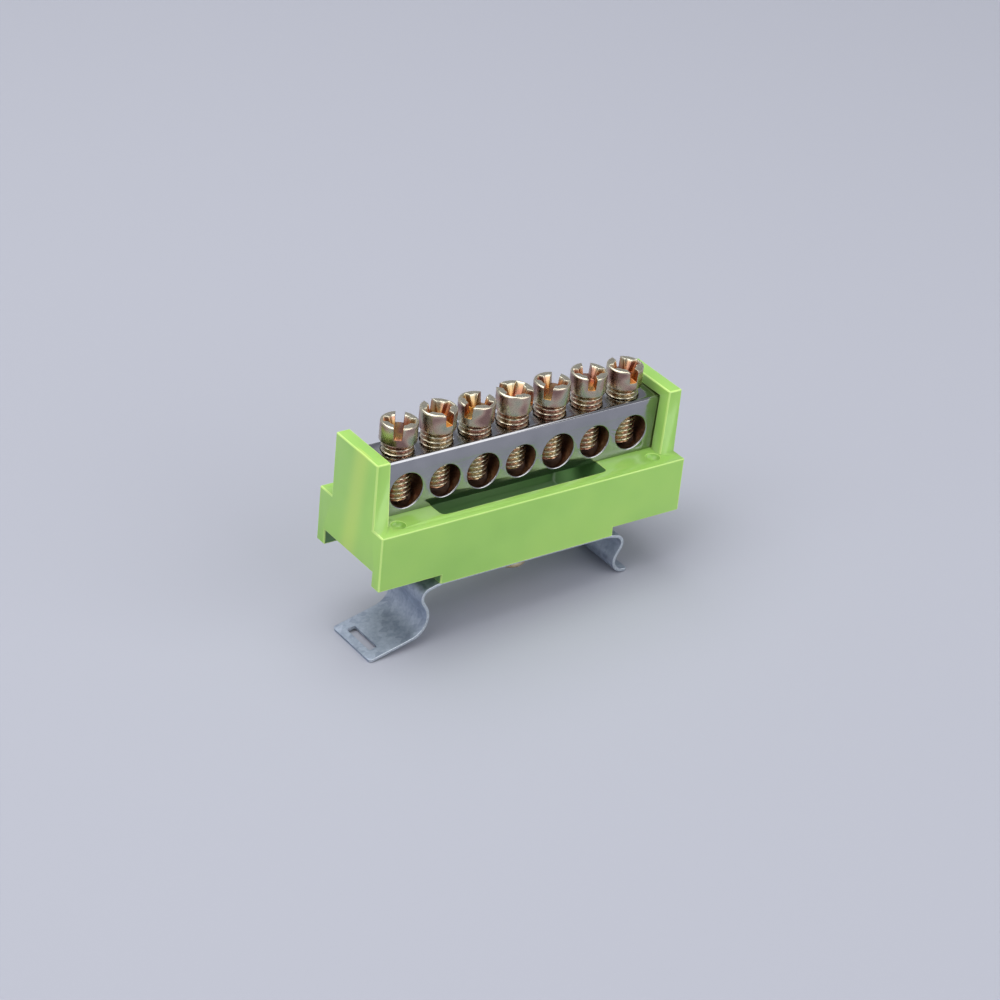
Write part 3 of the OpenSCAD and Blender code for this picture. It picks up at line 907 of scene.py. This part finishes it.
def walk(steps, start):
    """Points and headings along the steps, at first along +X from start. A straight goes on by its length
    times the heading's cosine and sine. A bend goes on by its radius times how much the heading's sine
    and cosine have changed."""
    points, headings = [np.array(start, float)], [0.0]
    for radius, value in steps:
        heading, here = headings[-1], points[-1]
        if radius == 0:
            far = np.linspace(0, value, max(2, int(value / STATION)) + 1)[1:]
            points += list(here + far[:, None] * np.array([math.cos(heading), math.sin(heading)]))
            headings += [heading] * len(far)
        else:
            turn = -math.radians(value)
            a = np.linspace(0, turn, max(3, int(abs(value) / ARC_STATION)) + 1)[1:]
            side = math.copysign(1, turn)
            arc = radius * side * np.stack(
                [np.sin(heading + a) - math.sin(heading), math.cos(heading) - np.cos(heading + a)], axis=-1
            )
            points += list(here + arc)
            headings += list(heading + a)
    return np.array(points), np.array(headings)


sag = math.sin(math.radians(SHOULDER[1]))
fall = math.cos(math.radians(SHOULDER[1]))
bent = BEND_R * (1 - sag) + SHOULDER[0] * sag + SHOULDER_L * fall
web_half = RAIL_W / 2 + PLAY + STRIP_T / 2 - bent
short_points, short_heads = walk([(0, web_half), *leg_steps(*FOOT)], (0, STRIP_T / 2))
long_points, long_heads = walk([(0, web_half), *leg_steps(*TONGUE)], (0, STRIP_T / 2))
path = np.concatenate([(long_points * [-1, 1])[::-1], short_points[1:]])
heads = np.concatenate([-long_heads[::-1], short_heads[1:]])
print("strip of", len(path), "stations, from x", np.round(path[[0, -1], 0] / MM, 2), "mm")

# %% [markdown]
# The section stays square to the path, so each station is the path's point, plus the section's thickness
# along the normal and its width along Y. Towards both free ends the width draws in along a quarter
# circle, which rounds the corners, and the stations are set closer there.


# %% Strip carried along its path
EDGE = 0.07 * MM
TIP_R = 0.5 * MM  # radius of the free corners, in plan


def strip_section(half_w, half_t, edge, across=9, corner=4):
    """A rectangle with round edges, as (across, through) offsets: each corner's centre is moved in by the
    edge radius, and its arc is the radius times the cosine and sine of the angle round it."""
    a = np.radians(np.linspace(0, 90, corner))
    arc = np.stack([np.cos(a), np.sin(a)], axis=-1) * edge
    quarter = arc + [half_w - edge, half_t - edge]
    flat = np.linspace(half_w - edge, -(half_w - edge), across)[1:-1]
    top = np.stack([flat, np.full(across - 2, half_t)], axis=-1)
    upper = np.concatenate([quarter, top, (quarter * [-1, 1])[::-1]])
    return np.concatenate([upper, -upper])


def with_end_stations(points, headings, distances):
    """Adds stations close to both ends, so that the free corners can be rounded in plan."""
    into = points[[1, -2]] - points[[0, -1]]
    into /= np.linalg.norm(into, axis=1, keepdims=True)
    start = points[0] + distances[:, None] * into[0]
    end = points[-1] + distances[:, None] * into[1]
    count = len(distances) + 1
    places = np.concatenate([points[:1], start, points[1:-1], end[::-1], points[-1:]])
    turns = np.concatenate([headings[:1].repeat(count), headings[1:-1], headings[-1:].repeat(count)])
    return places, turns


path, heads = with_end_stations(path, heads, np.linspace(0, 1, 7)[1:] ** 2 * TIP_R)
ahead = np.concatenate([[0], np.cumsum(np.hypot(*np.diff(path, axis=0).T))])
to_end = np.minimum(ahead, ahead[-1] - ahead)
inset = TIP_R - np.sqrt(np.clip(TIP_R**2 - np.clip(TIP_R - to_end, 0, None) ** 2, 0, None))
section = strip_section(STRIP_W / 2, STRIP_T / 2, EDGE)
across = section[None, :, 0] * (1 - inset[:, None] / (STRIP_W / 2))
normal = np.stack([-np.sin(heads), np.cos(heads)], axis=-1)
xz = path[:, None] + normal[:, None] * section[None, :, 1, None]
strip_mesh = tube_mesh("strip_blank", np.stack([xz[..., 0], across, xz[..., 1]], axis=-1))
print("strip blank:", len(strip_mesh.polygons), "faces")

# %% [markdown]
# A slot is punched across the release tongue for a screwdriver. Its cutter is a prism that stands square
# to the tongue, and the faces whose normals look along Y are the sheared sides.

# %% Slot in the tongue, and the finished clip
SLOT_L = 6.4 * MM
SLOT_W = 1.4 * MM
SLOT_SET = 2 * MM  # from the tongue's end to the slot's middle line
SLOT_CORNER = 0.35 * MM


def slot_cutter():
    """A prism with a round-cornered outline, square to the release tongue, two millimetres thick."""
    outline = strip_section(SLOT_L / 2, SLOT_W / 2, SLOT_CORNER, across=3, corner=6)
    level = np.array([-1, 1]) * MM
    along = np.array([math.cos(heads[0]), math.sin(heads[0])])
    square = np.array([-along[1], along[0]])
    centre = path[0] + SLOT_SET * along
    xz = centre + outline[None, :, 1, None] * along + level[:, None, None] * square
    y = np.broadcast_to(outline[None, :, 0], xz.shape[:2])
    mesh = tube_mesh("slot_cutter", np.stack([xz[..., 0], y, xz[..., 1]], axis=-1))
    return bpy.data.objects.new("slot_cutter", mesh)


clip_mesh = cut(strip_mesh, [slot_cutter()], 0)
clip_mesh.shade_smooth()
clip_mesh.set_sharp_from_angle(angle=math.radians(40))
show("folded_clip", clip_mesh, galvanised, PART, "galvanised_steel", "rail_clip")
clip_mesh.materials.append(cut_steel)
on_cut = np.abs(face_values(clip_mesh, "normal")[:, 1]) > 0.5
clip_mesh.polygons.foreach_set("material_index", on_cut.astype(np.int32))
print("clip:", len(clip_mesh.polygons), "faces")

# %% [markdown]
# ## Rivet: brass
#
# A brass rivet holds the clip. Its flat head lies in the trough, and its other end was formed by a
# turning tool, which leaves a round shoulder and a small dimple. It is a profile turned about Z.

# %% Material of the rivet
TARNISH = 1.2 * MM  # how far apart the tarnished places are

brass, tree = new_material("turned_brass")
where = add(tree, "ShaderNodeTexCoord").outputs["Object"]
tarnish = add(tree, "ShaderNodeTexNoise", {"Vector": where, "Scale": 1 / TARNISH, "Detail": 3.0})
tarnish = tarnish.outputs["Fac"]
golds = [(0.3, "#d8b88a"), (0.5, "#e4cb9f"), (0.7, "#f0deb8")]
gold = add(tree, "ShaderNodeValToRGB", {"Fac": tarnish}, golds).outputs["Color"]
gloss = add(tree, "ShaderNodeMapRange", {"Value": tarnish, **NOISE_SPAN, "To Min": 0.22, "To Max": 0.36})
look = {"Base Color": gold, "Metallic": 1.0, "Roughness": gloss.outputs["Result"]}
shader = add(tree, "ShaderNodeBsdfPrincipled", look)
add(tree, "ShaderNodeOutputMaterial", {"Surface": shader.outputs["BSDF"]})
print("brass:", len(tree.nodes), "nodes")

# %% [markdown]
# The profile runs from the middle of the formed head, out and round its shoulder, up the shank, and over
# the flat head to its middle. The frame gives the rivet's axis, its two ends and the flat head's width.

# %% Rivet
FORMED_R = 2.7 * MM
FORMED_TOP = 0.15 * MM
FORMED_RIM = 0.1 * MM
CAP_T = 0.9 * MM
CAP_RIM = 0.3 * MM
SHANK_R = 1.5 * MM
SHOULDER_R = 0.9 * MM
DIMPLE = 0.5 * MM

rivet_low, rivet_high = node_box("clip_rivet")
cap_r = (rivet_high[0] - rivet_low[0]) / 2
top, bottom = rivet_high[2], rivet_low[2]
profile = (
    [(0.1 * MM, bottom + DIMPLE), (0.5 * MM, bottom + 0.8 * DIMPLE), (1.1 * MM, bottom + 0.06 * MM)]
    + fillet((FORMED_R - SHOULDER_R, bottom + SHOULDER_R), SHOULDER_R, -90, 0)
    + fillet((FORMED_R - FORMED_RIM, FORMED_TOP - FORMED_RIM), FORMED_RIM, 0, 90, 4)
    + [(SHANK_R, FORMED_TOP), (SHANK_R, top - CAP_T), (cap_r - 0.1 * MM, top - CAP_T)]
    + fillet((cap_r - CAP_RIM, top - CAP_RIM), CAP_RIM, 0, 90, 5)
    + [(0.2 * MM, top)]
)
rivet_axis = [(rivet_low[0] + rivet_high[0]) / 2, (rivet_low[1] + rivet_high[1]) / 2, 0]
rivet_mesh = tube_mesh("brass_rivet", turned(profile, 64) + rivet_axis)
rivet_mesh.set_sharp_from_angle(angle=math.radians(40))
show("brass_rivet", rivet_mesh, brass, PART, "rivet_brass", "clip_rivet")
print("rivet:", len(rivet_mesh.polygons), "faces")
